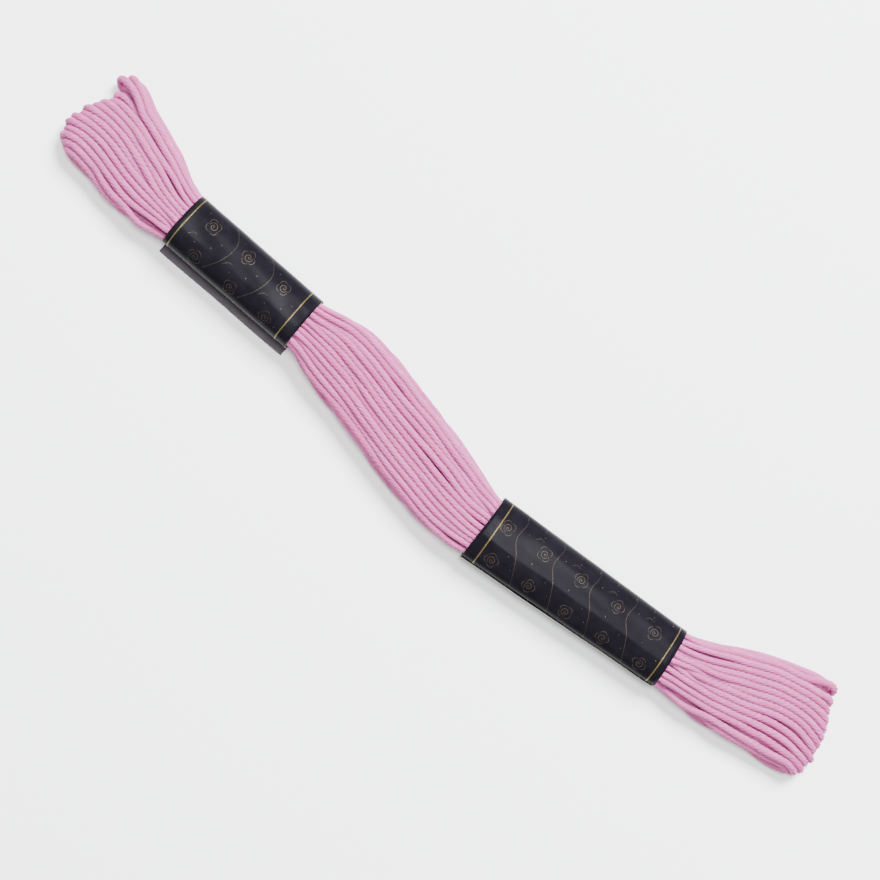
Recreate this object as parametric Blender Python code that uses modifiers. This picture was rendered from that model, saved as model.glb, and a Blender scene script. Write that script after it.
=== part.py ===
"""Skein of six-strand embroidery floss, held by two paper bands.

The skein lies flat on its underside. Its long direction is X, it is wide along Y and thin along Z,
and the origin is the middle of its footprint, on the surface that it rests on. About 8 m of soft
cord run back and forth along it, so its body is one flattened bundle that the two bands squeeze
narrower and higher, with a fan of end loops past each band.
"""
import math

import bmesh
import bpy
import numpy as np
from mathutils import Vector

MM = 0.001

# The spine of the skein, in millimetres: a row for each place where its form changes. x and y
# place the middle of the bundle in plan, lean is the spine's angle to X in degrees, and wide and
# high are the bundle's section there.
STATIONS = (
    # name             x      y     lean   wide  high
    ("left_tip",      -81.0,   5.4, -13.0,  15.8, 3.9),
    ("left_fan",      -71.7,   2.4, -13.0,  15.0, 4.4),
    ("left_neck",     -62.7,   0.1,  -9.0,  13.4, 4.8),
    ("short_in",      -55.9,  -0.3,   0.0,   9.0, 5.4),
    ("short_out",     -29.1,  -0.3,   0.0,   8.8, 5.4),
    ("waist",         -24.7,  -0.1,  -1.0,  12.4, 5.1),
    ("shoulder",      -19.2,  -0.7,  -7.0,  13.9, 4.8),
    ("belly",          -9.2,  -2.7, -10.5,  13.8, 4.8),
    ("hip",             1.9,  -4.8, -10.0,  13.8, 4.8),
    ("long_neck",      10.5,  -6.1,  -3.0,  12.9, 4.9),
    ("long_in",        14.3,  -6.1,   5.7,  10.9, 4.8),
    ("long_out",       52.7,  -2.3,   5.7,   9.5, 4.9),
    ("right_neck",     57.9,  -1.4,  11.0,  11.8, 4.8),
    ("right_fan",      66.9,   1.3,  16.0,  15.6, 4.3),
    ("right_tip",      80.5,   5.1,  15.0,  17.6, 3.8),
)

# The fan of loops at each end: how far its middle reaches past its corners, and how far it leans
# out toward the +Y corner.
FANS = (
    # outward  crown  lean
    (-1.0,     2.6,   0.8),
    (1.0,      2.5,   0.0),
)
FAN_LENGTH = 9.0
# The length over which the loops round off in height, and the share of it left at their very end.
NOSE = 2.0
NOSE_END = 0.14

# The turns on one side of the left fan have parted from the rest, which leaves a groove. Its place
# and width are shares of the half width there, and its depth a share of the half height.
GROOVE_AT = 0.42
GROOVE_WIDE = 0.17
GROOVE_DEEP = 0.8
GROOVE_NOTCH = 2.0
GROOVE_LENGTH = 14.0

# The hank's section: a flattened round whose lower side is cut flat where it lies.
ROUNDNESS = 2.8
FLAT_SINK = 0.4
AROUND = 36
RING_STEP = 3.0
NOSE_RINGS = 5

# Paper bands: the wall, the room between paper and floss, and the length over which the floss
# comes down from the paper to the surface, which starts a little past the paper's edge.
PAPER = 0.3
GAP = 0.3
LIP = 0.5
LIFT_LENGTH = 2.5
# Each band is a sleeve around a straight stretch of the spine. in_wide and out_wide are its
# widths at the two ends. The paper is glued along one side, where its edges make a fin: fin_out
# and fin_in are how far the fin runs outside and inside the sleeve's widest line, between the
# heights fin_low and fin_high. One fin lies out flat and the other is turned up.
BANDS = (
    # name          x_in    x_out  in_wide out_wide high fin_out fin_in fin_low fin_high
    ("band_short", -55.5, -29.5,    10.2,   10.0,  6.6,  1.5,    1.5,   0.0,    0.35),
    ("band_long",   14.7,  52.3,    12.1,   10.7,  6.1,  0.4,    0.2,   1.5,    3.3),
)
BAND_AROUND = 48

COLOURS = {
    # name          red    green  blue   roughness
    "floss_hank": (0.72, 0.36, 0.53, 0.75),
    "paper_band": (0.018, 0.017, 0.021, 0.40),
}


def clear_scene():
    for thing in list(bpy.data.objects):
        bpy.data.objects.remove(thing, do_unlink=True)


def new_collection(name):
    group = bpy.data.collections.new(name)
    bpy.context.scene.collection.children.link(group)
    return group


def principled(name):
    red, green, blue, rough = COLOURS[name]
    material = bpy.data.materials.new(name)
    material.use_nodes = True
    shader = material.node_tree.nodes["Principled BSDF"]
    shader.inputs["Base Color"].default_value = (red, green, blue, 1.0)
    shader.inputs["Roughness"].default_value = rough
    shader.inputs["Metallic"].default_value = 0.0
    return material


def add_object(name, bm, group, material=None):
    mesh = bpy.data.meshes.new(name)
    bm.to_mesh(mesh)
    bm.free()
    piece = bpy.data.objects.new(name, mesh)
    group.objects.link(piece)
    if material is not None:
        mesh.materials.append(material)
    return piece


def column(field):
    return np.array([row[field] for row in STATIONS], dtype=float)


def hermite(x, knots, values, slopes):
    """A smooth curve through values at knots, with the given slopes."""
    i = int(np.clip(np.searchsorted(knots, x) - 1, 0, len(knots) - 2))
    span = knots[i + 1] - knots[i]
    t = (x - knots[i]) / span
    return (
        (2 * t**3 - 3 * t**2 + 1) * values[i]
        + (t**3 - 2 * t**2 + t) * span * slopes[i]
        + (3 * t**2 - 2 * t**3) * values[i + 1]
        + (t**3 - t**2) * span * slopes[i + 1]
    )


def gentle_slopes(knots, values):
    """Slopes for a curve that never overshoots its knots."""
    rise = np.diff(values) / np.diff(knots)
    slopes = np.zeros(len(knots))
    for i in range(1, len(knots) - 1):
        if rise[i - 1] * rise[i] > 0:
            slopes[i] = 2.0 / (1.0 / rise[i - 1] + 1.0 / rise[i])
    slopes[0] = rise[0]
    slopes[-1] = rise[-1]
    return slopes


KNOTS = column(1)
SPINE_Y = column(2)
SPINE_SLOPE = np.tan(np.radians(column(3)))
WIDE = column(4)
HIGH = column(5)
WIDE_SLOPE = gentle_slopes(KNOTS, WIDE)
HIGH_SLOPE = gentle_slopes(KNOTS, HIGH)


def spine(x):
    """The spine's point in plan, its direction and the direction across it."""
    y = hermite(x, KNOTS, SPINE_Y, SPINE_SLOPE)
    step = 0.05
    ahead = hermite(x + step, KNOTS, SPINE_Y, SPINE_SLOPE)
    behind = hermite(x - step, KNOTS, SPINE_Y, SPINE_SLOPE)
    along = Vector((2 * step, ahead - behind, 0.0)).normalized()
    across = Vector((-along.y, along.x, 0.0))
    return Vector((x, y, 0.0)), along, across


def section(wide, high, count):
    """Points (across, up) around a flattened round that stands flat on its lower side."""
    half_high = (high + FLAT_SINK) / 2
    power = 2.0 / ROUNDNESS
    points = []
    for i in range(count):
        angle = 2 * math.pi * i / count
        c, s = math.cos(angle), math.sin(angle)
        across = wide / 2 * math.copysign(abs(c) ** power, c)
        up = high - half_high + half_high * math.copysign(abs(s) ** power, s)
        points.append((across, max(0.0, up)))
    return points


def lift(x):
    """How far the floss is held off the surface: by the paper under it, inside a band."""
    inside = 0.0
    for _, x_in, x_out, *_ in BANDS:
        away = max(x_in - LIP - x, x - x_out - LIP, 0.0)
        inside = max(inside, 1.0 - min(away / LIFT_LENGTH, 1.0))
    return (PAPER + GAP) * inside * inside * (3 - 2 * inside)


def groove(side, x):
    """From 0 to 1, how deep in the groove of the left fan a point is; side runs from -1 to 1."""
    fade = min(max(1.0 - (x - KNOTS[0]) / GROOVE_LENGTH, 0.0), 1.0)
    return fade * math.exp(-(((side - GROOVE_AT) / GROOVE_WIDE) ** 2))


def hank_ring(x, nose):
    """One ring of the hank at x. nose runs from 0 on the body to 1 at the end of the loops."""
    centre, along, across = spine(x)
    wide = hermite(x, KNOTS, WIDE, WIDE_SLOPE)
    high = hermite(x, KNOTS, HIGH, HIGH_SLOPE)
    squeeze = math.sqrt(max(1.0 - nose * nose, NOSE_END * NOSE_END))
    outward, crown, lean = FANS[0] if x < 0 else FANS[1]
    fan = max(1.0 - min(x - KNOTS[0], KNOTS[-1] - x) / FAN_LENGTH, 0.0)
    points = []
    for side_mm, up in section(wide - 2 * NOSE * (1 - squeeze), high, AROUND):
        side = 2 * side_mm / wide
        dent = groove(side, x)
        up = high / 2 + (up - high / 2) * squeeze
        up -= GROOVE_DEEP * dent * max(up - high / 2, 0.0)
        reach = (lean * side - crown * side * side - GROOVE_NOTCH * dent) * fan
        points.append(
            centre + across * side_mm + along * outward * reach + Vector((0.0, 0.0, lift(x) + up))
        )
    return points


def ring_places():
    """x and nose of each ring, from one end of the loops to the other."""
    start, end = KNOTS[0], KNOTS[-1]
    body = [start + NOSE]
    for mark in [row[1] for row in STATIONS[1:-1]] + [end - NOSE]:
        count = max(1, round((mark - body[-1]) / RING_STEP))
        step = (mark - body[-1]) / count
        body += [body[-1] + step * (i + 1) for i in range(count)]
    noses = [math.sin(math.pi / 2 * i / NOSE_RINGS) for i in range(NOSE_RINGS, 0, -1)]
    places = [(start + NOSE * (1 - nose), nose) for nose in noses]
    places += [(x, 0.0) for x in body]
    places += [(end - NOSE * (1 - nose), nose) for nose in reversed(noses)]
    return places


def floss_hank(group, material):
    bm = bmesh.new()
    rings = []
    for x, nose in ring_places():
        rings.append([bm.verts.new(point * MM) for point in hank_ring(x, nose)])
    loops = [
        [bm.edges.new((ring[i], ring[(i + 1) % AROUND])) for i in range(AROUND)] for ring in rings
    ]
    for first, second in zip(loops, loops[1:]):
        bmesh.ops.bridge_loops(bm, edges=first + second)
    for loop in (loops[0], loops[-1]):
        bmesh.ops.contextual_create(bm, geom=loop)
    bmesh.ops.triangulate(bm, faces=[face for face in bm.faces if len(face.verts) > 4])
    bmesh.ops.recalc_face_normals(bm, faces=bm.faces)
    hank = add_object("floss_hank", bm, group, material)
    hank.data.shade_smooth()
    return hank


def place_on_band(bm, band):
    """Narrows a band's mesh toward its second end, and turns and moves it onto the spine."""
    _, x_in, x_out, in_wide, out_wide, *_ = band
    start = spine(x_in)[0]
    along = (spine(x_out)[0] - start).normalized()
    across = Vector((-along.y, along.x, 0.0))
    length = (spine(x_out)[0] - start).length
    for vert in bm.verts:
        far, side, up = vert.co / MM
        share = far / length
        side *= 1.0 + share * (out_wide / in_wide - 1.0)
        vert.co = (start + along * far + across * side + Vector((0.0, 0.0, up))) * MM
    return bm


def paper_band(band, group, cutters, material):
    name, x_in, x_out, in_wide, _, high, fin_out, fin_in, fin_low, fin_high = band
    length = (spine(x_out)[0] - spine(x_in)[0]).length

    bm = bmesh.new()
    points = section(in_wide, high, BAND_AROUND)
    verts = [bm.verts.new(Vector((0.0, side, up)) * MM) for side, up in points]
    edges = [
        bm.edges.new((verts[i], verts[(i + 1) % BAND_AROUND])) for i in range(BAND_AROUND)
    ]
    pulled = bmesh.ops.extrude_edge_only(bm, edges=edges)["geom"]
    far_verts = [item for item in pulled if isinstance(item, bmesh.types.BMVert)]
    bmesh.ops.translate(bm, verts=far_verts, vec=Vector((length, 0.0, 0.0)) * MM)
    bmesh.ops.recalc_face_normals(bm, faces=bm.faces)
    sleeve = add_object(name, place_on_band(bm, band), group, material)
    wall = sleeve.modifiers.new("paper", "SOLIDIFY")
    wall.thickness = PAPER * MM
    wall.offset = -1.0

    bm = bmesh.new()
    bmesh.ops.create_cube(bm, size=1.0)
    size = Vector((length, fin_out + fin_in, fin_high - fin_low)) * MM
    middle = Vector((length / 2, (fin_in - fin_out - in_wide) / 2, (fin_low + fin_high) / 2))
    bmesh.ops.scale(bm, vec=size, verts=bm.verts)
    bmesh.ops.translate(bm, vec=middle * MM, verts=bm.verts)
    fin = add_object(f"{name}_fin", place_on_band(bm, band), cutters)
    fin.display_type = "WIRE"
    fin.hide_render = True
    seam = sleeve.modifiers.new("glued_seam", "BOOLEAN")
    seam.object = fin
    seam.operation = "UNION"
    seam.solver = "EXACT"
    return sleeve


def main():
    clear_scene()
    group = new_collection("embroidery_floss_skein")
    cutters = new_collection("cutters")
    floss_hank(group, principled("floss_hank"))
    paper = principled("paper_band")
    for band in BANDS:
        paper_band(band, group, cutters, paper)


main()
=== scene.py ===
"""Looks of a skein of embroidery floss: its wound cord, its two paper bands and their gold print."""
import math

import bmesh
import bpy
import numpy as np
from bpy.props import FloatProperty, IntProperty, PointerProperty, StringProperty
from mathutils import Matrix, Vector, kdtree
from mathutils.bvhtree import BVHTree


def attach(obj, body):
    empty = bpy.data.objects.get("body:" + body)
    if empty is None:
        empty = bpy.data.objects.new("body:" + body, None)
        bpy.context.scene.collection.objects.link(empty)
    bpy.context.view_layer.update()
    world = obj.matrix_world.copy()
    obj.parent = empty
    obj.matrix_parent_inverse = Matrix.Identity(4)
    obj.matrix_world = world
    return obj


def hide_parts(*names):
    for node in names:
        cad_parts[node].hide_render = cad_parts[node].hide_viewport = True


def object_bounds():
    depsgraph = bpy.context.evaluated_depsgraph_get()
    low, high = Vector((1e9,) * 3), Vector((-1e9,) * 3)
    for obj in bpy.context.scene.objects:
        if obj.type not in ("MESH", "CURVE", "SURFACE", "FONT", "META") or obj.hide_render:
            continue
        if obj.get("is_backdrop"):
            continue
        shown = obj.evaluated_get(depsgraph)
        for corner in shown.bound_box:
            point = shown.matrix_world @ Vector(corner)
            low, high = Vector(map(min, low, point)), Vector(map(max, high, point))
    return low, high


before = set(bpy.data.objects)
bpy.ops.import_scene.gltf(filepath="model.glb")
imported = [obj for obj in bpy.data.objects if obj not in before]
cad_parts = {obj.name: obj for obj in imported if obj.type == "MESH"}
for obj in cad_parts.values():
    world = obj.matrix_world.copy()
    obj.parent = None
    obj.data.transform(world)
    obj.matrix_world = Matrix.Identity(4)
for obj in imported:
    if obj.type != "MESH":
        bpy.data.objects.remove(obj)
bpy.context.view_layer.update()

bl_info = {
    "name": "Embroidery Floss Skein",
    "version": (1, 0, 0),
    "blender": (4, 5, 0),
    "location": "View3D > Sidebar > Skein",
    "description": "Winds a skein of embroidery floss and wraps it in two printed paper bands",
    "category": "Add Mesh",
}

MM = 0.001
BODY = "root"
STRANDS = 6    # strands in the cord

# Where each turn of the cord goes over at the two ends of the skein. share is the turn's place
# across the bundle, from -1 to 1. middle is where its loop lies across the fan and back how far it
# stops short of the longest loop. wide is the loop's width: the cord goes out on the +Y side, turns
# over to the -Y side and comes back under, or the other way round if wide is negative. lean is how
# far to the side of that the cord still is a centimetre before it turns. under is how far the
# inner turn at the same place lies ahead of the outer one and to its +Y side. All are in
# millimetres.
LOOPS = {
    "left": (
        # share  middle  back  wide  lean  under
        (-1.00, -7.2, 3.2, -0.8, -0.2, 0.0),
        (-0.70, -6.2, 1.8, 0.8, 0.9, 0.0),
        (-0.30, -4.1, 0.7, 2.2, 2.0, 0.0),
        (0.10, -1.6, 0.9, 2.4, 2.2, 0.0),
        (0.42, 0.8, 1.5, 2.2, 1.3, 0.0),
        (0.58, 2.1, 1.8, 1.8, 0.3, 1.9),
        (0.75, 5.9, -0.5, 1.3, 0.2, 0.0),
        (0.92, 7.4, 0.6, 1.3, -0.7, 0.0),
        (1.00, 7.8, 1.3, 1.0, -0.7, 0.0),
    ),
    "right": (
        # share  middle  back  wide  lean  under
        (-1.00, -7.6, 1.3, -0.8, -0.2, 0.0),
        (-0.60, -6.0, 0.4, 1.2, 1.7, 0.0),
        (-0.20, -3.2, 0.0, 2.2, 2.2, 0.0),
        (0.20, -0.2, 0.2, 2.4, 2.0, 0.0),
        (0.60, 3.2, 0.9, 2.4, 1.1, 0.0),
        (0.85, 6.2, 1.2, 2.2, 0.2, 0.0),
        (1.00, 7.7, 1.3, 2.0, -0.2, 0.0),
    ),
}

# The two paper bands, in millimetres. x is where a band's two mouths lie along the skein, wide the
# sleeve's width at those mouths, high its height and crease the height of the soft fold along its
# top. The glued edge of the short band lies out flat on the -Y side, and that of the long band
# stands up along its -Y side. borders are the border lines' places from the two mouths, pitch is
# the spacing of the flowers along a row, and first is where the first flower lies on the flat
# sheet, from the first mouth and from the tucked end. seed starts the band's random draws.
BANDS = {
    "band_short": {
        "x": (-56.0, -29.5), "wide": (10.2, 10.0), "high": 6.6, "edge": "flat", "crease": 0.12,
        "borders": (1.0, 2.2), "pitch": 7.6, "first": (5.1, 14.8), "seed": 3,
    },
    "band_long": {
        "x": (14.7, 52.3), "wide": (12.1, 10.7), "high": 6.1, "edge": "upright", "crease": 0.24,
        "borders": (2.0, 1.35), "pitch": 7.35, "first": (4.2, 6.3), "seed": 8,
    },
}


# ---------------------------------------------------------------------------------- settings


class FlossSettings(bpy.types.PropertyGroup):
    """The cord and how it is wound."""

    turns: IntProperty(name="Turns", description="Turns of cord in the skein", default=24, min=4)
    cord: FloatProperty(
        name="Cord", description="Diameter of the soft six-strand cord",
        default=1.30 * MM, subtype="DISTANCE", unit="LENGTH",
    )
    twist: FloatProperty(
        name="Twist", description="Length over which the six strands go once round the cord",
        default=5.6 * MM, subtype="DISTANCE", unit="LENGTH",
    )
    colour: StringProperty(name="Colour", description="Dyed cotton, sRGB hex", default="FF7CD0")
    # shade is also the base of the colour painted as shade into the cord's valleys.
    shade: StringProperty(
        name="Shade", description="Cotton where the dye is deeper, sRGB hex", default="F45CB6"
    )


class PaperSettings(bpy.types.PropertyGroup):
    """The two paper bands and their print."""

    thickness: FloatProperty(
        name="Paper", description="Thickness of the band paper",
        default=0.12 * MM, subtype="DISTANCE", unit="LENGTH",
    )
    coat: StringProperty(name="Coat", description="Printed black, sRGB hex", default="0F0D12")
    margin: StringProperty(
        name="Margin", description="Uncoated margin at the glued edge, sRGB hex", default="4C474B"
    )
    core: StringProperty(name="Core", description="Cut edge of the paper, sRGB hex", default="B8B2A6")
    gold: StringProperty(
        name="Gold", description="Metallic ink of the border lines, sRGB hex", default="6E5D30"
    )
    fine_gold: StringProperty(
        name="Fine gold", description="The same ink in the flowers' fine strokes, sRGB hex",
        default="4B4030",
    )


class StageSettings(bpy.types.PropertyGroup):
    """The view and the light."""

    turn: FloatProperty(
        name="Turn", description="How far the view is turned about the upright axis",
        default=math.radians(41.0), subtype="ANGLE", unit="ROTATION",
    )
    fill: FloatProperty(
        name="Fill", description="Share of the view that the skein fills", default=0.97,
        min=0.1, max=1.0, subtype="FACTOR",
    )
    floor: StringProperty(name="Floor", description="Floor colour, sRGB hex", default="FAFAF9")


# ---------------------------------------------------------------------------------- materials


def linear(hex_colour):
    """An sRGB hex colour as linear red, green, blue and alpha."""
    channels = [int(hex_colour[i:i + 2], 16) / 255.0 for i in (0, 2, 4)]
    return [c / 12.92 if c <= 0.04045 else ((c + 0.055) / 1.055) ** 2.4 for c in channels] + [1.0]


def add_node(tree, kind, sockets=None, **settings):
    """Adds a node, gives it its settings and fills or links its sockets."""
    node = tree.nodes.new(kind)
    for name, value in settings.items():
        setattr(node, name, value)
    for key, value in (sockets or {}).items():
        if isinstance(value, bpy.types.NodeSocket):
            tree.links.new(value, node.inputs[key])
        else:
            node.inputs[key].default_value = value
    return node


def new_material(name):
    """An empty material, ready for its nodes."""
    material = bpy.data.materials.new(name)
    material.use_nodes = True
    material.node_tree.nodes.clear()
    return material, material.node_tree


def cotton_material(settings):
    """Mercerised stranded cotton: dyed fibre in six plied strands, which gives a soft silky sheen
    along the cord and a fine slant of plies across it. Shade is painted into the gaps between
    strands, plies and fibres."""
    material, tree = new_material("mercerised_stranded_cotton")
    place = add_node(tree, "ShaderNodeUVMap", uv_map="cord").outputs["UV"]
    split = add_node(tree, "ShaderNodeSeparateXYZ", {0: place})
    around, along = split.outputs[0], split.outputs[1]

    # Two plies to a strand: one slanting line every 1.1 mm of cord on each strand. The sixth of a
    # strand brings the drawn valleys onto those of the mesh.
    strands = add_node(
        tree, "ShaderNodeMath", {0: around, 1: STRANDS, 2: 1 / 6}, operation="MULTIPLY_ADD"
    ).outputs[0]
    plies = add_node(tree, "ShaderNodeMath", {0: along, 1: 1 / 1.1}, operation="MULTIPLY").outputs[0]
    slant = add_node(tree, "ShaderNodeMath", {0: strands, 1: plies}, operation="ADD").outputs[0]
    turn = add_node(tree, "ShaderNodeMath", {0: slant, 1: math.tau}, operation="MULTIPLY").outputs[0]
    wave = add_node(tree, "ShaderNodeMath", {0: turn}, operation="SINE").outputs[0]

    # 1 on a strand's crest and 0 in the valley to the next, where shade is painted into the
    # colour.
    lobe = add_node(tree, "ShaderNodeMath", {0: strands, 1: math.pi}, operation="MULTIPLY").outputs[0]
    arch = add_node(tree, "ShaderNodeMath", {0: lobe}, operation="COSINE").outputs[0]
    crest = add_node(tree, "ShaderNodeMath", {0: arch}, operation="ABSOLUTE").outputs[0]

    # Single fibres are 0.015 mm and don't show, so they are drawn as bunches of about 0.07 mm.
    bunches = add_node(tree, "ShaderNodeMath", {0: around, 1: 54.0}, operation="MULTIPLY").outputs[0]
    lengths = add_node(tree, "ShaderNodeMath", {0: along, 1: 1.1}, operation="MULTIPLY").outputs[0]
    stretch = add_node(tree, "ShaderNodeCombineXYZ", {0: bunches, 1: lengths}).outputs[0]
    fibres = add_node(
        tree, "ShaderNodeTexNoise",
        {"Vector": stretch, "Scale": 1.0, "Detail": 4.0, "Roughness": 0.7}, noise_dimensions="3D",
    ).outputs["Fac"]
    relief = add_node(
        tree, "ShaderNodeMath", {0: wave, 1: 0.45, 2: fibres}, operation="MULTIPLY_ADD"
    ).outputs[0]
    bump = add_node(
        tree, "ShaderNodeBump", {"Height": relief, "Strength": 1.0, "Distance": 0.16 * MM}
    ).outputs[0]

    # The dye takes a little unevenly, over a few centimetres of cord and from strand to strand.
    across = add_node(tree, "ShaderNodeMath", {0: strands, 1: 0.35}, operation="MULTIPLY").outputs[0]
    slow = add_node(tree, "ShaderNodeMath", {0: along, 1: 0.045}, operation="MULTIPLY").outputs[0]
    spread = add_node(tree, "ShaderNodeCombineXYZ", {0: across, 1: slow}).outputs[0]
    patches = add_node(
        tree, "ShaderNodeTexNoise", {"Vector": spread, "Scale": 1.0, "Detail": 2.0}
    ).outputs["Fac"]
    blend = add_node(
        tree, "ShaderNodeMapRange",
        {"Value": patches, "From Min": 0.30, "From Max": 0.70, "To Min": 0.0, "To Max": 1.0},
    ).outputs[0]
    colour = add_node(
        tree, "ShaderNodeMix",
        {0: blend, 6: linear(settings.shade), 7: linear(settings.colour)}, data_type="RGBA",
    ).outputs[2]

    # Painted shade: the colour is darker in the valleys, between the plies and between the fibres.
    strand = add_node(tree, "ShaderNodeMath", {0: crest, 1: 0.8}, operation="POWER").outputs[0]
    ply = add_node(
        tree, "ShaderNodeMapRange",
        {"Value": wave, "From Min": -1.0, "From Max": 1.0, "To Min": 0.68, "To Max": 1.0},
    ).outputs[0]
    fibre_shade = add_node(
        tree, "ShaderNodeMapRange",
        {"Value": fibres, "From Min": 0.35, "From Max": 0.55, "To Min": 0.66, "To Max": 1.0},
    ).outputs[0]
    lines = add_node(tree, "ShaderNodeMath", {0: strand, 1: ply}, operation="MULTIPLY").outputs[0]
    unshaded_share = add_node(
        tree, "ShaderNodeMath", {0: lines, 1: fibre_shade}, operation="MULTIPLY"
    ).outputs[0]
    # Painted shade: a darker copy of the shade colour, mixed in down in the cord's valleys.
    deep = [c * k for c, k in zip(linear(settings.shade)[:3], (0.90, 0.72, 0.82))] + [1.0]
    colour = add_node(
        tree, "ShaderNodeMix", {0: unshaded_share, 6: deep, 7: colour}, data_type="RGBA"
    ).outputs[2]
    gloss = add_node(
        tree, "ShaderNodeMapRange",
        {"Value": fibres, "From Min": 0.3, "From Max": 0.7, "To Min": 0.48, "To Max": 0.66},
    ).outputs[0]
    shader = add_node(
        tree, "ShaderNodeBsdfPrincipled",
        {"Base Color": colour, "Roughness": gloss, "Normal": bump, "IOR": 1.53,
         "Sheen Weight": 0.22, "Sheen Roughness": 0.45, "Subsurface Weight": 0.25,
         "Subsurface Scale": 0.3 * MM},
    )
    shader.inputs["Sheen Tint"].default_value = linear("FFE6F2")
    shader.inputs["Subsurface Radius"].default_value = (1.0, 0.35, 0.55)
    add_node(tree, "ShaderNodeOutputMaterial", {"Surface": shader.outputs[0]})
    return material


def paper_material(name, hex_colour, rough, grain, shine):
    """Band paper. grain is the height of its fibre relief in millimetres, shine its reflection."""
    material, tree = new_material(name)
    place = add_node(tree, "ShaderNodeTexCoord").outputs["Object"]
    # Fibre clumps about 0.25 mm across, and rubbed spots of about 3 mm.
    clumps = add_node(
        tree, "ShaderNodeTexNoise",
        {"Vector": place, "Scale": 1 / (0.25 * MM), "Detail": 3.0, "Roughness": 0.55},
    ).outputs["Fac"]
    scuffs = add_node(
        tree, "ShaderNodeTexNoise",
        {"Vector": place, "Scale": 1 / (3.0 * MM), "Detail": 4.0, "Roughness": 0.65},
    ).outputs["Fac"]
    base = linear(hex_colour)
    worn = [min(1.0, c * 1.3 + 0.001) for c in base[:3]] + [1.0]
    blend = add_node(
        tree, "ShaderNodeMapRange",
        {"Value": scuffs, "From Min": 0.45, "From Max": 0.75, "To Min": 0.0, "To Max": 1.0},
    ).outputs[0]
    colour = add_node(
        tree, "ShaderNodeMix", {0: blend, 6: base, 7: worn}, data_type="RGBA"
    ).outputs[2]
    gloss = add_node(
        tree, "ShaderNodeMapRange",
        {"Value": scuffs, "From Min": 0.3, "From Max": 0.7, "To Min": rough - 0.05,
         "To Max": rough + 0.07},
    ).outputs[0]
    bump = add_node(
        tree, "ShaderNodeBump", {"Height": clumps, "Strength": 0.6, "Distance": grain * MM}
    ).outputs[0]
    shader = add_node(
        tree, "ShaderNodeBsdfPrincipled",
        {"Base Color": colour, "Roughness": gloss, "Normal": bump, "IOR": 1.5,
         "Specular IOR Level": shine},
    )
    add_node(tree, "ShaderNodeOutputMaterial", {"Surface": shader.outputs[0]})
    return material


def gold_material(name, hex_colour):
    """Metallic ink, offset printed: bronze flakes in varnish, dull and broken by the paper. A fine
    stroke holds fewer flakes and looks darker."""
    material, tree = new_material(name)
    place = add_node(tree, "ShaderNodeTexCoord").outputs["Object"]
    # Flakes lie unevenly over about 0.2 mm.
    flakes = add_node(
        tree, "ShaderNodeTexNoise",
        {"Vector": place, "Scale": 1 / (0.2 * MM), "Detail": 3.0, "Roughness": 0.7},
    ).outputs["Fac"]
    blend = add_node(
        tree, "ShaderNodeMapRange",
        {"Value": flakes, "From Min": 0.35, "From Max": 0.65, "To Min": 0.0, "To Max": 1.0},
    ).outputs[0]
    gold = linear(hex_colour)
    dull = [c * 0.35 for c in gold[:3]] + [1.0]
    colour = add_node(
        tree, "ShaderNodeMix", {0: blend, 6: dull, 7: gold}, data_type="RGBA"
    ).outputs[2]
    gloss = add_node(
        tree, "ShaderNodeMapRange", {"Value": flakes, "To Min": 0.55, "To Max": 0.35}
    ).outputs[0]
    shader = add_node(
        tree, "ShaderNodeBsdfPrincipled",
        {"Base Color": colour, "Roughness": gloss, "Metallic": 0.5},
    )
    add_node(tree, "ShaderNodeOutputMaterial", {"Surface": shader.outputs[0]})
    return material


# ---------------------------------------------------------------------------------- meshes


def new_object(name, mesh, materials=()):
    """Links a finished mesh as a piece at the origin."""
    piece = bpy.data.objects.new(name, mesh)
    bpy.context.scene.collection.objects.link(piece)
    for material in materials:
        mesh.materials.append(material)
    return piece


def settled_mesh(piece, name):
    """The piece's mesh with its modifiers applied. The piece itself is removed."""
    seen = bpy.context.evaluated_depsgraph_get()
    mesh = bpy.data.meshes.new_from_object(piece.evaluated_get(seen))
    mesh.name = name
    data = piece.data
    bpy.data.objects.remove(piece)
    if isinstance(data, bpy.types.Curve):
        bpy.data.curves.remove(data)
    else:
        bpy.data.meshes.remove(data)
    return mesh


# ---------------------------------------------------------------------------------- the form


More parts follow.
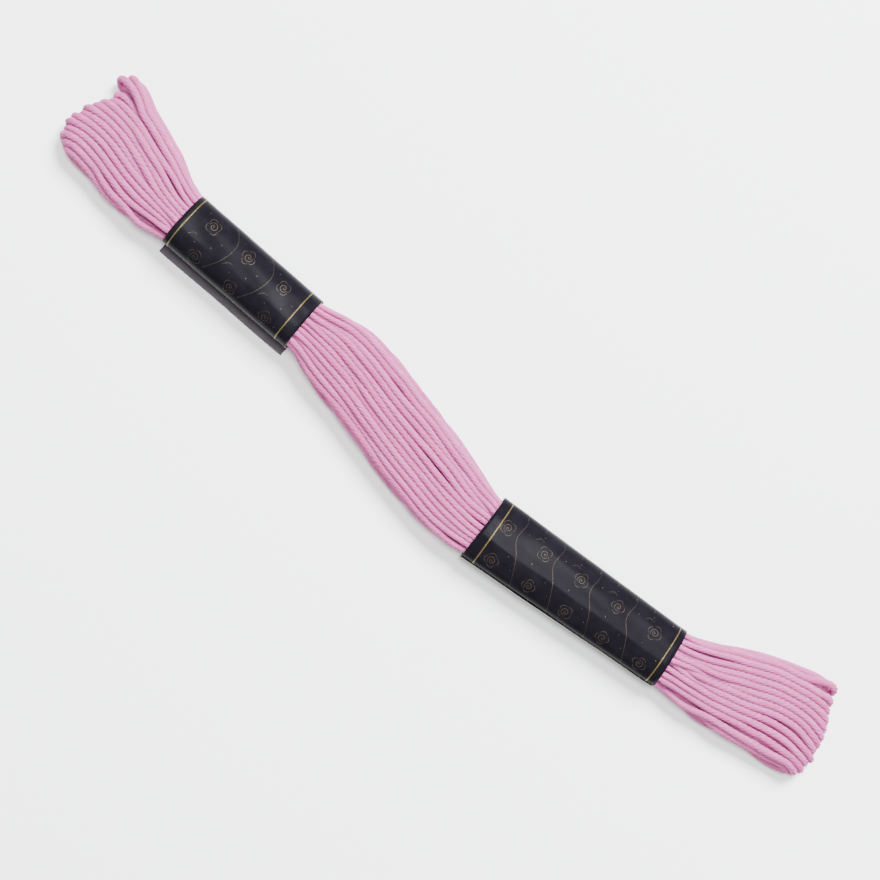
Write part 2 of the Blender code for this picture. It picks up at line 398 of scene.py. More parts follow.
class Form:
    """The wound form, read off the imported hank: its spine, width and height along X, in mm."""

    STEP = 1.0   # spacing of the sections
    TIP = 9.0    # how much of each end is left to the loops and has no section of its own
    EASE = 5     # how many sections the spine is averaged over

    def __init__(self):
        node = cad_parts["floss_hank"]
        points = [vert.co / MM for vert in node.data.vertices]
        faces = [list(face.vertices) for face in node.data.polygons]
        self.tree = BVHTree.FromPolygons(points, faces)
        self.points = np.array(points)
        low, high = self.points.min(axis=0), self.points.max(axis=0)
        self.x = np.arange(low[0] + self.TIP, high[0] - self.TIP, self.STEP)
        rows = [self.slice(x, (low[2] + high[2]) / 3) for x in self.x]
        self.y, self.half, self.low, self.high = np.array(rows).T
        self.y = self.smooth(self.y, np.ones(self.EASE) / self.EASE)
        self.slope = np.gradient(self.y, self.STEP)
        self.half *= np.cos(np.arctan(self.slope))

    @staticmethod
    def smooth(values, kernel):
        """The values averaged over the kernel, carried on evenly past both ends."""
        pad = len(kernel) // 2
        ends = np.concatenate([
            2 * values[0] - values[pad:0:-1], values, 2 * values[-1] - values[-2:-pad - 2:-1]
        ])
        return np.convolve(ends, kernel, "valid")

    def hit(self, start, direction):
        """Where a line from start first meets the hank."""
        return self.tree.ray_cast(Vector(start), Vector(direction))[0]

    def slice(self, x, height):
        """Middle, half width, underside and top of the hank where it crosses x."""
        beside, above = 60.0, 40.0
        for _ in range(2):
            right = self.hit((x, beside, height), (0, -1, 0))[1]
            left = self.hit((x, -beside, height), (0, 1, 0))[1]
            middle = (left + right) / 2
            top = self.hit((x, middle, above), (0, 0, -1))[2]
            base = self.hit((x, middle, -above), (0, 0, 1))[2]
            height = (top + base) / 2
        return middle, (right - left) / 2, base, top

    def at(self, x):
        """Spine y, slope, half width, underside and top at each x. The spine runs on past its
        ends in a straight line."""
        x = np.asarray(x, dtype=float)
        inside = np.clip(x, self.x[0], self.x[-1])
        slope = np.interp(inside, self.x, self.slope)
        y = np.interp(inside, self.x, self.y) + (x - inside) * slope
        return (y, slope, np.interp(inside, self.x, self.half),
                np.interp(inside, self.x, self.low), np.interp(inside, self.x, self.high))

    def place(self, x, side):
        """Plan points beside the spine."""
        y, slope, *_ = self.at(x)
        length = np.hypot(1.0, slope)
        return np.stack([x - side * slope / length, y + side / length], axis=-1)

    def tip(self, end):
        """The point furthest out at one end, on the spine's line, and the outward direction."""
        near = slice(2, 9) if end == "left" else slice(-9, -2)
        sign = -1.0 if end == "left" else 1.0
        slope, _ = np.polyfit(self.x[near], self.y[near], 1)
        out = sign * np.array([1.0, slope]) / math.hypot(1.0, slope)
        start = np.array([self.x[near].mean(), self.y[near].mean()])
        reach = ((self.points[:, :2] - start) @ out).max()
        return start + out * reach, out


# ---------------------------------------------------------------------------------- winding


PIECES = 6           # how many pieces the cord is split into
WINDING_SEED = 25    # starts the winding's random draws
LAID_STEP = 0.72     # spacing of the points along the cord while it is laid, mm
DRAWN_STEP = 0.42    # the same for the finished cord, mm
BODY_STEP = 5.0      # spacing of the guide points between the fans, mm
HOOK_LENGTH = 10.0   # how far from its loop a cord starts to bend to the side, mm
FAN_LENGTH = 18.0    # how far from the end the fan starts, mm
SWELL = 0.35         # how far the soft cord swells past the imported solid, mm
SECTION_POWER = 2.8  # roundness of the bundle's section
SQUEEZE = 0.76       # how thin the paper bands press the cord
PACKED = 0.92        # how close two cords lie, of their width: they flatten where they touch
JOIN_X = 33.0        # where one turn runs into the next, inside the long band, mm
INNER_LEVEL = 0.36   # how far the inner turns lie from the middle height, of the outer turns' way
FOOT_SIDE = 6.9      # how far to the side the outermost cord comes back under the fan, mm
WANDER_TOP = 0.26    # how far single cords wander sideways on top, mm
WANDER_LOW = 0.35    # the same underneath, mm
WANDER_UP = 0.12     # how far single cords wander up and down, mm
DRIFT = 0.26         # how far neighbouring cords wander together, mm
ROUNDS = 150         # rounds of settling
VALLEY = 0.76        # radius of the cord in the valley between two strands, of its full radius


def smooth_noise(rng, count, waves, size):
    """A smooth random function of x in millimetres, one for each of count cords."""
    phase = rng.uniform(0, math.tau, (count, len(waves)))
    strength = rng.normal(0, 1, (count, len(waves))) * size / math.sqrt(len(waves))

    def value(cord, x):
        total = 0.0
        for k, wave in enumerate(waves):
            total = total + strength[cord, k] * np.sin(math.tau * x / wave + phase[cord, k])
        return total
    return value


def catmull(points, step):
    """A smooth curve through points, with its own points one step apart."""
    p = np.asarray(points)
    first = 2 * p[0] - p[1]
    last = 2 * p[-1] - p[-2]
    p = np.vstack([first, p, last])
    t = np.linspace(0, 1, 12, endpoint=False)[:, None]
    parts = []
    for a, b, c, d in zip(p, p[1:], p[2:], p[3:]):
        parts.append(0.5 * (2 * b + (c - a) * t + (2 * a - 5 * b + 4 * c - d) * t**2
                            + (3 * b - a - 3 * c + d) * t**3))
    fine = np.vstack(parts + [p[-2:-1]])
    return resample(fine, step)


def resample(points, step):
    """Points one step apart along a line through the given ones."""
    lengths = np.linalg.norm(np.diff(points, axis=0), axis=1)
    run = np.concatenate([[0], np.cumsum(lengths)])
    count = max(2, int(round(run[-1] / step)))
    even = np.linspace(0, run[-1], count + 1)
    return np.stack([np.interp(even, run, points[:, k]) for k in range(3)], axis=1)


def turn_places(form, cord, share, level, top_noise, low_noise, rise, rng, group):
    """Guide points of one turn: along the underside to the left, over the left end, along the top
    to the right, over the right end and back under."""
    x_low, x_high = form.x[0] + FAN_LENGTH - form.TIP, form.x[-1] - FAN_LENGTH + form.TIP
    body = np.arange(x_low, x_high + 0.1, BODY_STEP)

    def along_body(xs, up):
        """Along the top if up is 1, and along the underside if it is -1."""
        _, _, half, low, high = form.at(xs)
        half = half + SWELL - cord / 2
        middle, thick = (low + high) / 2, (high - low) / 2 + SWELL - cord / 2
        noise = top_noise if up > 0 else low_noise
        side = share * half + noise(xs) + group(share, xs)
        side = np.clip(side, -half, half)
        bulge = (1 - np.abs(side / half) ** SECTION_POWER).clip(0) ** (1 / SECTION_POWER)
        z = middle + up * level * thick * bulge + rise(xs + (0 if up > 0 else 500))
        return np.column_stack([form.place(xs, side), z])

    def over_end(end):
        """From the top, over the end, to the underside."""
        tip, out = form.tip(end)
        across = np.array([-out[1], out[0]]) * (1 if end == "right" else -1)
        table = np.array(LOOPS[end])
        place, back, wide, lean, under = (
            np.interp(share, table[:, 0], table[:, k]) for k in range(1, 6)
        )
        # The inner turns stop short of the outer ones, by less at the two sides.
        back += (1 - level) * (2.2 - 1.4 * share**6) + rng.normal(0, 0.2) + cord / 2
        place += rng.normal(0, 0.12)
        if level < 1:
            place, back = place + under, back - under
        # How far the loop reaches from its shoulders to its tip.
        deep = max(0.3 + 0.62 * abs(wide), 1.1 * level, 0.9)
        x_end = form.x[-1] if end == "right" else form.x[0]
        _, _, half, low, high = form.at(x_end)
        middle, thick = (low + high) / 2, (high - low) / 2 + SWELL - cord / 2

        # The turn is half an oval. A cord that comes in slantwise joins it further round.
        angles = np.radians(np.linspace(12 + 15 * min(max(lean, 0.0), 2.2), 168, 7))
        oval = np.column_stack([back + deep * (1 - np.sin(angles)),
                                place + wide / 2 * np.cos(angles)])
        rows = []
        for away in (10.0, 7.0, 4.2, 1.9):
            bent = 1 - (1 - away / HOOK_LENGTH) ** 2.4
            rows.append((oval[0, 0] + away * 0.85, oval[0, 1] + lean * bent, 1.0))
        for (inward, sideways), share_down in zip(oval, np.linspace(0, 1, 7)):
            rows.append((inward, sideways, math.cos(math.pi * share_down)))
        for away, share_back in ((4.5, 0.1), (7.0, 0.3), (10.0, 0.6)):
            foot = place - wide / 2
            rows.append((back + away, foot + (share * FOOT_SIDE - foot) * share_back, -1.0))
        points = []
        for inward, sideways, up in rows:
            share_out = min(abs(sideways) / (half + SWELL), 0.97)
            bulge = (1 - share_out**SECTION_POWER) ** (1 / SECTION_POWER)
            points.append([*(tip - out * inward + across * sideways),
                           middle + thick * level * up * bulge])
        return np.array(points)

    left, right = over_end("left"), over_end("right")
    under_left = body[body < JOIN_X - 3][::-1]
    under_right = body[body > JOIN_X + 3][::-1]
    return np.vstack([
        along_body(under_left, -1), left[::-1], along_body(body, 1), right,
        along_body(under_right, -1),
    ])


def near_pairs(points, reach, skip):
    """Pairs of points that lie within reach, but not next to each other on the cord."""
    tree = kdtree.KDTree(len(points))
    for i, point in enumerate(points):
        tree.insert(point, i)
    tree.balance()
    pairs = [
        (i, j) for i, point in enumerate(points) for _, j, _ in tree.find_range(point, reach)
        if j > i + skip
    ]
    return np.array(pairs, dtype=int).reshape(-1, 2)


def width_at(form, cord, x, across):
    """Width of the cord at each x: the bands press it thinner. across is the count side by side."""
    _, _, half, _, _ = form.at(x)
    room = 2 * (half + SWELL) / across
    return np.clip(room * 1.02, SQUEEZE * cord, cord)


def settle(points, form, cord, across, rounds):
    """Pushes the cord apart where it runs through itself, keeps it in the wound form and off the
    surface, and keeps its bends soft."""
    home = points.copy()
    for done in range(rounds):
        # The points move little in a round, so near pairs are looked up again only now and then.
        if done % 8 == 0:
            pairs = near_pairs(points, cord * 1.2, 5)
        apart = PACKED * width_at(form, cord, points[:, 0], across)
        gap = points[pairs[:, 0]] - points[pairs[:, 1]]
        distance = np.linalg.norm(gap, axis=1) + 1e-9
        wish = (apart[pairs[:, 0]] + apart[pairs[:, 1]]) / 2
        close = distance < wish
        push = np.zeros_like(points)
        count = np.zeros(len(points))
        move = gap[close] / distance[close, None] * ((wish - distance)[close, None] * 0.5)
        for column, sign in ((0, 1), (1, -1)):
            index = pairs[close, column]
            for k in range(3):
                push[:, k] += np.bincount(index, sign * move[:, k], len(points))
            count += np.bincount(index, minlength=len(points))
        points = points + push / np.maximum(1, count * 0.6)[:, None]

        # Only a change of bend is eased, so the loops keep their round.
        bend = np.zeros_like(points)
        bend[1:-1] = (points[:-2] + points[2:]) / 2 - points[1:-1]
        stiff = np.zeros_like(points)
        stiff[1:-1] = bend[1:-1] - (bend[:-2] + bend[2:]) / 2
        points = points + 0.5 * stiff
        points = points + 0.02 * (home - points)

        # What stands out of the wound form is drawn back to its surface.
        y, slope, half, low, high = form.at(points[:, 0])
        radius = apart / 2
        length = np.hypot(1.0, slope)
        side = (points[:, 1] - y) / length
        half = half + SWELL - radius
        middle = (low + high) / 2
        thick = (high - low) / 2 + SWELL - radius
        # Beyond the last sections the fan may spread a little further.
        beyond = np.maximum(form.x[0] - points[:, 0], points[:, 0] - form.x[-1]).clip(0, 5)
        ratio = (np.abs(side / half) ** SECTION_POWER
                 + np.abs((points[:, 2] - middle) / thick) ** SECTION_POWER) ** (1 / SECTION_POWER)
        ratio /= 1 + 0.03 * beyond
        shrink = 1 / np.maximum(ratio, 1)
        points[:, 1] += side * (shrink - 1) / length
        points[:, 2] = middle + (points[:, 2] - middle) * shrink
        points[:, 2] = np.clip(points[:, 2], radius * 1.08, middle + thick)
    return points


def wind(settings):
    """The cord's centre line in millimetres, how thin it is at each point, and the points where
    one turn runs into the next. The inner turns are wound first, then the outer ones back again."""
    form = Form()
    rng = np.random.default_rng(WINDING_SEED)
    cord = settings.cord / MM
    turns = settings.turns
    half = turns // 2
    waves = (22.0, 37.0, 61.0)
    top = smooth_noise(rng, turns, waves, WANDER_TOP)
    low = smooth_noise(rng, turns, waves, WANDER_LOW)
    rise = smooth_noise(rng, turns, (17.0, 31.0, 53.0), WANDER_UP)
    drift = [(rng.uniform(1.5, 5.0), wave, rng.uniform(0, math.tau)) for wave in (43.0, 67.0, 110.0)]

    def group(share, xs):
        """Neighbouring cords wander together, so they close up and part in groups."""
        total = 0.0
        for slope, wave, phase in drift:
            total = total + np.sin(math.tau * xs / wave + slope * share + phase)
        return DRIFT * total

    guides = []
    for k in range(turns):
        inner = k < half
        place = k if inner else turns - 1 - k
        share = (place + 0.5) / half * 2 - 1
        level = INNER_LEVEL if inner else 1.0
        guides.append(turn_places(
            form, cord, share, level,
            lambda x, k=k: top(k, x), lambda x, k=k: low(k, x), lambda x, k=k: rise(k, x),
            rng, group,
        ))
    points = resample(catmull(np.vstack(guides), LAID_STEP), LAID_STEP)
    points = settle(points, form, cord, half, ROUNDS)
    points = resample(catmull(points, DRAWN_STEP), DRAWN_STEP)
    thin = width_at(form, cord, points[:, 0], half) / cord
    joins = np.flatnonzero((points[:-1, 0] >= JOIN_X) & (points[1:, 0] < JOIN_X))
    return points, thin, joins


def cord_profile(cord):
    """The cord's section as a closed curve: six soft strands side by side round the middle."""
    data = bpy.data.curves.new("cord_profile", "CURVE")
    data.dimensions = "2D"
    spline = data.splines.new("POLY")
    count = 3 * STRANDS
    spline.points.add(count - 1)
    spline.use_cyclic_u = True
    for i in range(count):
        # Two points on the crest of each strand and one in the valley to the next.
        angle = math.tau * (i + 0.5) / count
        radius = cord / 2 * (VALLEY if i % 3 == 1 else 1.0)
        spline.points[i].co = (radius * math.cos(angle), radius * math.sin(angle), 0, 1)
    profile = bpy.data.objects.new("cord_profile", data)
    bpy.context.scene.collection.objects.link(profile)
    return profile


def cord_piece(name, points, thin, first, profile, settings, seed):
    """One stretch of the cord as a twisted tube. first is the index of its first point."""
    data = bpy.data.curves.new(name, "CURVE")
    data.dimensions = "3D"
    data.bevel_mode = "OBJECT"
    data.bevel_object = profile
    data.use_fill_caps = True
    spline = data.splines.new("POLY")
    spline.points.add(len(points) - 1)
    step = DRAWN_STEP * MM
    rng = np.random.default_rng(seed)
    # A soft cord's twist and thickness vary slowly along it.
    wobble = np.convolve(rng.normal(0, 1, len(points) + 40), np.hanning(41) / 12.5, "valid")
    for i, point in enumerate(points):
        spline.points[i].co = (*(point * MM), 1)
        turned = -math.tau * (first + i) * step / settings.twist + 0.5 * wobble[i]
        spline.points[i].tilt = math.fmod(turned, math.tau)
        spline.points[i].radius = thin[i] * (1.0 + 0.04 * wobble[i])
    piece = bpy.data.objects.new(name, data)
    bpy.context.scene.collection.objects.link(piece)
    mesh = settled_mesh(piece, name)

    bm = bmesh.new()
    bm.from_mesh(mesh)
    bmesh.ops.remove_doubles(bm, verts=bm.verts, dist=0.001 * MM)
    bmesh.ops.recalc_face_normals(bm, faces=bm.faces)
    length = len(points) * DRAWN_STEP
    layer = bm.loops.layers.uv.active
    for vert in bm.verts:
        # The cord flattens where it lies on the table.
        vert.co.z = max(vert.co.z, 0.01 * MM)
    for face in bm.faces:
        face.smooth = True
        for loop in face.loops:
            around, along = loop[layer].uv
            loop[layer].uv = (around, along * length)
    bm.to_mesh(mesh)
    bm.free()
    mesh.uv_layers[0].name = "cord"
    return mesh


class SKEIN_OT_wind_floss(bpy.types.Operator):
    """Wind the floss to and fro into its skein"""

    bl_idname = "skein.wind_floss"
    bl_label = "Wind the floss"

    def execute(self, context):
        settings = context.scene.skein_floss
        points, thin, joins = wind(settings)
        material = cotton_material(settings)
        profile = cord_profile(settings.cord)
        each = settings.turns // PIECES
        cuts = [0, *joins[each - 1::each][:PIECES - 1], len(points) - 1]
        for k, (first, last) in enumerate(zip(cuts, cuts[1:])):
            name = f"floss_turns_{k + 1}"
            stretch = slice(first, last + 1)
            mesh = cord_piece(name, points[stretch], thin[stretch], first, profile, settings, k)
            piece = new_object(name, mesh, [material])
            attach(piece, BODY)
            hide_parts("floss_hank")
        data = profile.data
        bpy.data.objects.remove(profile)
        bpy.data.curves.remove(data)
        return {"FINISHED"}


# ---------------------------------------------------------------------------------- bands


class Sleeve:
    """One paper band: wraps a flat sheet round the bundle. On the sheet x runs along the skein
    and round runs from 0, at the end tucked inside, to 1, at the glued end outside."""

    SINK = 0.4     # how far the rounded section is cut flat underneath, mm
    FOOT = 0.03    # how far the paper stands off the table, mm
    FOLD = -1.1    # how far the fold lies to the +Y side of the band's middle, mm
    STEPS = 240    # points in a section

    def __init__(self, name, form, thickness):
        self.form = form
        self.spec = BANDS[name]
        self.thickness = thickness
        self.x_in, self.x_out = self.spec["x"]
        self.rng = np.random.default_rng(self.spec["seed"])
        # Length, slant and phase of the waves that the cords press into the paper.
        self.waves = [
            (self.rng.uniform(9, 26), self.rng.uniform(1, 4), self.rng.uniform(0, math.tau))
            for _ in range(6)
        ]

    def path(self, x):
        """The sheet's outer face in section at x, from its tucked end to its glued end."""
        share = (x - self.x_in) / (self.x_out - self.x_in)
        wide = self.spec["wide"][0] * (1 - share) + self.spec["wide"][1] * share
        high = self.spec["high"]
        t = self.thickness
        # From the -Y side's foot up over the top, down the +Y side and back along the underside.
        angles = np.linspace(math.radians(215), math.radians(-138), self.STEPS)
        half_high = (high + self.SINK) / 2
        c, s = np.cos(angles), np.sin(angles)
        v = (wide / 2) * np.sign(c) * np.abs(c) ** (2 / SECTION_POWER)
        z = high - half_high + half_high * np.sign(s) * np.abs(s) ** (2 / SECTION_POWER)
        points = np.column_stack([v, np.maximum(z, self.FOOT)])
        if self.spec["edge"] == "flat":
            # The tucked end lies on the glued one, on the inside.
            level = 2.2 * t
            start = points[points[:, 1] > level][0]
            points = points[np.argmax(points[:, 1] > level):]
            tucked = [(start[0] + 2.6, level), (start[0] + 0.5, level)]
            # The glued end runs straight on along the surface and lifts a little at its lip.
            lip = -wide / 2 - 1.5 - 0.04 * math.sin(x / 3.1)
            foot = points[-1]
            end = [
                (foot[0] - 0.2, 0.03),
                (-wide / 2, 0.04),
                (lip + 0.5, 0.08 + 0.03 * math.sin(x / 4.0)),
                (lip, 0.18 + 0.05 * math.sin(x / 2.7)),
            ]
            points = np.vstack([tucked, points, end])
        else:
            # The glued end turns up outside the first layer and stands off at its lip.
            side = np.linspace(math.radians(-138), math.radians(-188), 30)
            c, s = np.cos(side), np.sin(side)
            off = t + np.linspace(0, 1, 30) ** 3 * (0.24 - 0.10 * share + 0.04 * math.sin(x / 3.7))
            v = (wide / 2 + off) * np.sign(c) * np.abs(c) ** (2 / SECTION_POWER)
            z = high - half_high + half_high * np.sign(s) * np.abs(s) ** (2 / SECTION_POWER)
            points = np.vstack([points[:-1], np.column_stack([v, np.maximum(z, self.FOOT)])])
        return points

    def buckle(self, x, v, z):
        """How far the thin paper stands off its section where the cords under it push."""
        total = 0.0
        for wave, slant, phase in self.waves:
            total = total + np.sin(math.tau * (x + slant * v) / wave + phase)
        on_top = np.clip((z - 0.4 * self.spec["high"]) / (0.4 * self.spec["high"]), 0, 1)
        return on_top * (0.018 * total - 0.05)

    def crease(self, v, z):
        """Height of the soft fold along the top, where the band was pressed flat. It rises evenly
        from the -Y side and dies away on the +Y side."""
        on_top = np.clip((z - 0.6 * self.spec["high"]) / (0.3 * self.spec["high"]), 0, 1)
        off = v - self.FOLD
        height = math.exp(-off / 2.4) if off > 0 else max(1 + off / 3.2, 0.0)
        return on_top * self.spec["crease"] * height

    def wrap(self, x, round_share, lift=0.0):
        """A point of the flat sheet as a point of the wrapped band, in metres."""
        path = self.path(x)
        steps = np.linalg.norm(np.diff(path, axis=0), axis=1)
        run = np.concatenate([[0], np.cumsum(steps)]) / steps.sum()
        v = np.interp(round_share, run, path[:, 0])
        z = np.interp(round_share, run, path[:, 1])
        # The paper's slope is read over a short stretch on both sides.
        stretch = 0.012
        ahead, behind = min(1.0, round_share + stretch), max(0.0, round_share - stretch)
        dv = np.interp(ahead, run, path[:, 0]) - np.interp(behind, run, path[:, 0])
        dz = np.interp(ahead, run, path[:, 1]) - np.interp(behind, run, path[:, 1])
        size = math.hypot(dv, dz)
        out_v, out_z = -dz / size, dv / size
        off = lift + self.buckle(x, v, z) + self.crease(v, z)
        v, z = v + out_v * off, z + out_z * off
        y, slope, *_ = self.form.at(x)
        length = math.hypot(1.0, slope)
        return Vector((x - v * slope / length, y + v / length, z)) * MM

    def length_round(self, x):
        """The sheet's length from its tucked end to its glued end, in millimetres."""
        path = self.path(x)
        return np.linalg.norm(np.diff(path, axis=0), axis=1).sum()


def flat_ribbon(bm, points, widths):
    """A ribbon along points, drawn flat on the sheet in millimetres."""
    count = len(points)
    made = bmesh.ops.create_grid(bm, x_segments=count - 1, y_segments=1, size=0.5)["verts"]
    points = np.asarray(points, dtype=float)
    tangent = np.gradient(points, axis=0)
    tangent /= np.linalg.norm(tangent, axis=1)[:, None]
    widths = np.broadcast_to(widths, (count,))
    for vert in made:
        i = int(round((vert.co.x + 0.5) * (count - 1)))
        side = math.copysign(0.5 * widths[i], vert.co.y)
        x, y = points[i]
        vert.co = (x - tangent[i][1] * side, y + tangent[i][0] * side, 0)


def flat_dot(bm, x, y, radius, corners=8):
    """A round dot on the flat sheet."""
    made = bmesh.ops.create_circle(bm, cap_ends=True, segments=corners, radius=radius)["verts"]
    for vert in made:
        vert.co += Vector((x, y, 0))


def rosette(bm, x, y, radius, spin, ink):
    """A coiled flower: a coil of one stroke, four petals round it and a dot in the middle. ink is
    how thick its strokes are."""
    t = np.linspace(0, 1, 24)
    angle = spin + t * math.tau * 1.3
    reach = radius * (0.16 + 0.42 * t ** 0.8)
    points = np.column_stack([x + reach * np.cos(angle), y + reach * np.sin(angle)])
    flat_ribbon(bm, points, ink * (0.05 + 0.05 * np.sin(math.pi * t) ** 0.7))
    t = np.linspace(0, 1, 9)
    for petal in range(4):
        angle = spin + (petal + 0.15 + 0.9 * t) * math.tau / 4
        reach = radius * (0.74 + 0.22 * np.sin(math.pi * t) ** 0.8)
        points = np.column_stack([x + reach * np.cos(angle), y + reach * np.sin(angle)])
        flat_ribbon(bm, points, ink * (0.03 + 0.06 * np.sin(math.pi * t)))
    flat_dot(bm, x, y, radius * 0.08)


def stem(bm, knots, width):
    """A thin stem bent through its knots, thinner at both ends."""
    knots = np.column_stack([np.array(knots), np.zeros(len(knots))])
    points = catmull(knots, 0.5)[:, :2]
    t = np.linspace(0, 1, len(points))
    flat_ribbon(bm, points, width * (0.5 + 0.5 * np.sin(math.pi * t)))


INK = 0.022          # how far the ink stands off the paper, mm
BORDER_WIDTH = 0.20  # width of a border line, mm
STEM_WIDTH = 0.06    # width of a stem at its middle, mm
FLOWER = 1.3         # radius of a flower, mm
ROW_REPEAT = 11.4    # spacing of the rows of flowers round the band, before it is fitted, mm

# One repeat of each band's print, in millimetres from a flower's middle: the knots of its stems,
# its second flower and its loose dots.
MOTIFS = {
    "band_short": {
        "stems": (
            ((2.4, 3.4), (3.8, 2.0), (5.0, 0.0), (4.5, -3.2), (2.6, -6.6)),
            ((-2.6, -3.6), (-1.9, -2.7), (-1.2, -2.7)),
        ),
        "second": (0.7, -5.8),
        "dots": ((1.9, -2.9), (-1.9, 1.5), (3.0, -1.4), (2.9, 5.2), (-0.8, -3.9)),
    },
    "band_long": {
        "stems": (
            ((-6.3, 9.4), (-5.8, 8.2), (-6.0, 5.2), (-4.2, 2.4), (-2.6, -1.5), (-2.7, -2.4)),
            ((-3.4, 6.9), (-2.7, 7.5), (-1.9, 7.3)),
        ),
        "second": (-0.8, 5.8),
        "dots": ((-1.6, 3.3), (1.9, 2.1), (2.7, 6.9), (-2.2, 8.0), (1.2, -2.3), (3.4, 0.4)),
    },
}


def print_on_band(name, band, sleeve):
    """The band's print in metallic ink: two borders, and between them in fine strokes rows of
    coiled flowers, stems and dots."""
    spec, rng, motif = sleeve.spec, sleeve.rng, MOTIFS[band]
    x_in, x_out = spec["x"]
    total = sleeve.length_round((x_in + x_out) / 2)
    bm = bmesh.new()
    for x in (x_in + spec["borders"][0], x_out - spec["borders"][1]):
        steps = np.linspace(0.15, total - 0.15, 120)
        flat_ribbon(bm, np.column_stack([np.full(120, x), steps]), BORDER_WIDTH)
    borders = set(bm.faces)
    left = x_in + spec["borders"][0] + 0.35
    right = x_out - spec["borders"][1] - 0.35

    def inside(x, y, room):
        """Whether a mark with that much room about it lies between the borders."""
        return left + room < x < right - room and 0.5 + room < y < total - 0.5 - room

    def grow(x, y):
        """One repeat of the print. A stem that is cut too short is left out."""
        for dx, dy, ink in ((0.0, 0.0, 1.0), (*motif["second"], 0.7)):
            if inside(x + dx, y + dy, 0.85):
                radius = FLOWER * rng.uniform(0.92, 1.05)
                rosette(bm, x + dx, y + dy, radius, rng.uniform(0, math.tau), ink)
        for whole in motif["stems"]:
            knots = [(x + dx, y + dy) for dx, dy in whole if inside(x + dx, y + dy, 0.1)]
            if len(knots) > max(2, len(whole) - 3):
                stem(bm, knots, STEM_WIDTH)
        for dx, dy in motif["dots"]:
            if inside(x + dx, y + dy, 0.3):
                flat_dot(bm, x + dx, y + dy, rng.uniform(0.07, 0.12), corners=6)

    repeat = total / round(total / ROW_REPEAT)
    for row in range(-1, 4):
        for column in range(-1, 8):
            x = x_in + spec["first"][0] + column * spec["pitch"]
            grow(x, spec["first"][1] + row * repeat)

    for face in set(bm.faces) - borders:
        face.material_index = 1

    # Long edges are divided, so that the ink bends with the paper.
    edges = [edge for edge in bm.edges if edge.calc_length() > 1.2]
    bmesh.ops.subdivide_edges(bm, edges=edges, cuts=1, use_grid_fill=True)
    for vert in bm.verts:
        x = min(max(vert.co.x, x_in + 0.1), x_out - 0.1)
        round_share = min(max(vert.co.y / total, 0.002), 0.998)
        vert.co = sleeve.wrap(x, round_share, lift=INK)
    bmesh.ops.recalc_face_normals(bm, faces=bm.faces)
    mesh = bpy.data.meshes.new(name)
    bm.to_mesh(mesh)
    bm.free()
    return mesh


class SKEIN_OT_wrap_bands(bpy.types.Operator):
    """Wrap the two printed paper bands round the skein"""

    bl_idname = "skein.wrap_bands"
    bl_label = "Wrap the paper bands"

    PATCH = 0.6    # length of a paper face along the skein, mm
    AROUND = 150   # paper faces round the band

    def execute(self, context):
        settings = context.scene.skein_paper
        form = Form()
        coat = paper_material("black_coated_paper", settings.coat, 0.28, 0.004, 0.033)
        reverse = paper_material("uncoated_paper_reverse", settings.margin, 0.75, 0.02, 0.2)
        core = paper_material("cut_paper_edge", settings.core, 0.85, 0.01, 0.2)
        inks = [
            gold_material("metallic_gold_ink", settings.gold),
            gold_material("metallic_gold_ink_fine", settings.fine_gold),
        ]
        thickness = settings.thickness / MM
        for band, spec in BANDS.items():
            sleeve = Sleeve(band, form, thickness)
            x_in, x_out = spec["x"]
            along, around = int((x_out - x_in) / self.PATCH), self.AROUND
            bm = bmesh.new()
            bmesh.ops.create_grid(bm, x_segments=along, y_segments=around, size=0.5)
            for vert in bm.verts:
                x = x_in + (vert.co.x + 0.5) * (x_out - x_in)
                vert.co = sleeve.wrap(x, vert.co.y + 0.5)
            for face in bm.faces:
                face.smooth = True
            top = max(bm.faces, key=lambda face: face.calc_center_median().z)
            if top.normal.z < 0:
                bmesh.ops.reverse_faces(bm, faces=bm.faces)
            mesh = bpy.data.meshes.new(band)
            bm.to_mesh(mesh)
            bm.free()
            piece = new_object(band, mesh, [coat, reverse, core])
            solid = piece.modifiers.new("paper", "SOLIDIFY")
            solid.thickness = settings.thickness
            solid.offset = -1.0
            solid.material_offset = 1
            solid.material_offset_rim = 2
            name = band + "_paper"
            piece = new_object(name, settled_mesh(piece, name))
            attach(piece, BODY)
            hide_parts(band)

            name = band + "_print"
            piece = new_object(name, print_on_band(name, band, sleeve), inks)
            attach(piece, BODY)
            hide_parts(band)
        return {"FINISHED"}


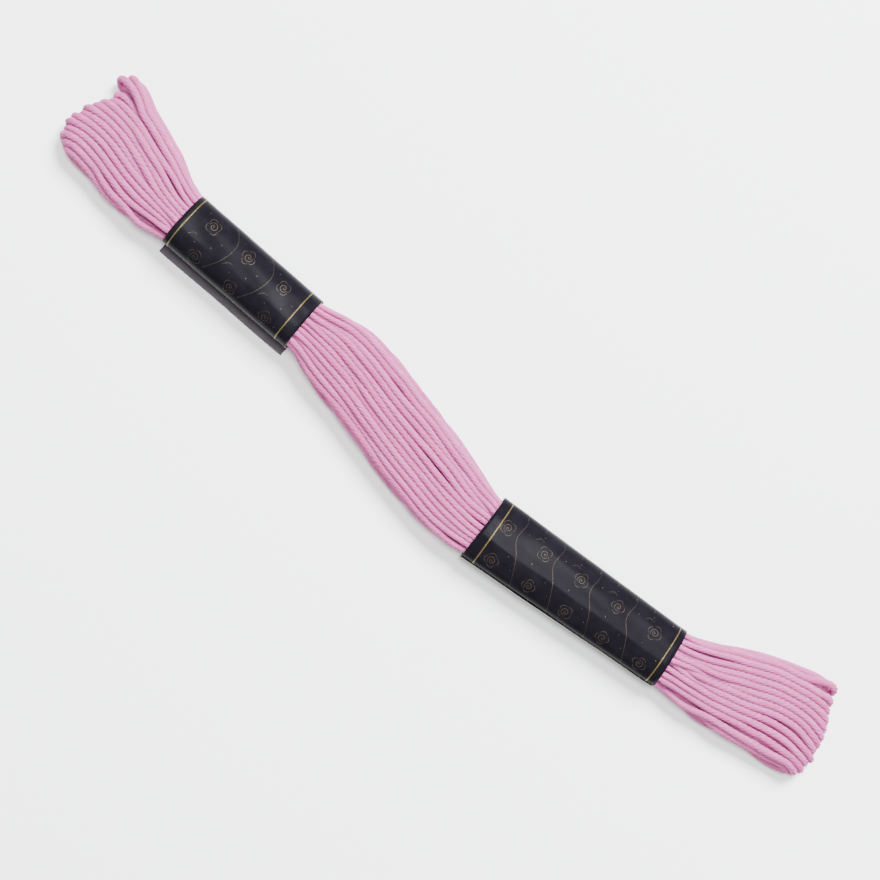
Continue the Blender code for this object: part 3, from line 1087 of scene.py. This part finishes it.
class SKEIN_OT_set_stage(bpy.types.Operator):
    """Set the floor, the lights and the camera"""

    bl_idname = "skein.set_stage"
    bl_label = "Set the stage"

    def execute(self, context):
        settings = context.scene.skein_stage
        low, high = (Vector(corner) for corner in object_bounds())
        middle = (low + high) / 2

        bm = bmesh.new()
        bmesh.ops.create_grid(bm, x_segments=1, y_segments=1, size=1.5)
        mesh = bpy.data.meshes.new("floor")
        bm.to_mesh(mesh)
        bm.free()
        material, tree = new_material("matt_white_board")
        shader = add_node(
            tree, "ShaderNodeBsdfPrincipled",
            {"Base Color": linear(settings.floor), "Roughness": 0.9},
        )
        add_node(tree, "ShaderNodeOutputMaterial", {"Surface": shader.outputs[0]})
        new_object("floor", mesh, [material])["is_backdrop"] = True

        world = context.scene.world or bpy.data.worlds.new("studio")
        context.scene.world = world
        world.use_nodes = True
        world.node_tree.nodes["Background"].inputs[0].default_value = (1.0, 1.0, 1.0, 1.0)
        world.node_tree.nodes["Background"].inputs[1].default_value = 0.75

        turn = settings.turn
        right = Vector((math.cos(turn), math.sin(turn), 0.0))
        up = Vector((-math.sin(turn), math.cos(turn), 0.0))
        # Each light's place is so far to the right, forward and above the skein, in metres.
        for name, side, forward, height, size, power, glare in (
            ("key_light", 0.42, 0.46, 0.66, 0.35, 41.0, False),
            ("overhead_light", 0.09, 0.14, 0.95, 0.26, 11.0, True),
        ):
            data = bpy.data.lights.new(name, "AREA")
            data.size = size
            data.energy = power
            data.color = (0.94, 0.96, 1.0)
            light = bpy.data.objects.new(name, data)
            # The key light stands for a polarised one, which doesn't glare on the paper.
            light.visible_glossy = glare
            light.location = middle + right * side + up * forward + Vector((0, 0, height))
            aim = middle - light.location
            light.rotation_euler = aim.to_track_quat("-Z", "Y").to_euler()
            context.scene.collection.objects.link(light)

        lens, sensor = 85.0, 36.0
        corners = [Vector((x, y, 0)) for x in (low.x, high.x) for y in (low.y, high.y)]
        half = max(max(abs((c - middle).dot(right)), abs((c - middle).dot(up))) for c in corners)
        data = bpy.data.cameras.new("camera")
        data.lens = lens
        data.sensor_width = sensor
        data.clip_start = 0.01
        camera = bpy.data.objects.new("camera", data)
        distance = half / settings.fill * 2 * lens / sensor
        camera.location = (middle.x, middle.y, high.z + distance)
        camera.rotation_euler = (0.0, 0.0, turn)
        context.scene.collection.objects.link(camera)
        context.scene.camera = camera
        return {"FINISHED"}


class SKEIN_PT_panel(bpy.types.Panel):
    """Shows the skein's settings and the buttons that build it"""

    bl_label = "Embroidery floss skein"
    bl_idname = "SKEIN_PT_panel"
    bl_space_type = "VIEW_3D"
    bl_region_type = "UI"
    bl_category = "Skein"

    def draw(self, context):
        for group in ("skein_floss", "skein_paper", "skein_stage"):
            box = self.layout.box()
            settings = getattr(context.scene, group)
            for name in settings.__annotations__:
                box.prop(settings, name)
        for operator in OPERATORS:
            self.layout.operator(operator.bl_idname)


OPERATORS = (SKEIN_OT_wind_floss, SKEIN_OT_wrap_bands, SKEIN_OT_set_stage)
SETTINGS = {
    "skein_floss": FlossSettings, "skein_paper": PaperSettings, "skein_stage": StageSettings,
}


def register():
    for group in (*SETTINGS.values(), *OPERATORS, SKEIN_PT_panel):
        bpy.utils.register_class(group)
    for name, group in SETTINGS.items():
        setattr(bpy.types.Scene, name, PointerProperty(type=group))


def unregister():
    for name in SETTINGS:
        delattr(bpy.types.Scene, name)
    for group in (SKEIN_PT_panel, *reversed(OPERATORS), *SETTINGS.values()):
        bpy.utils.unregister_class(group)


def main():
    register()
    bpy.ops.skein.wind_floss()
    bpy.ops.skein.wrap_bands()
    bpy.ops.skein.set_stage()


if __name__ == "__main__":
    main()
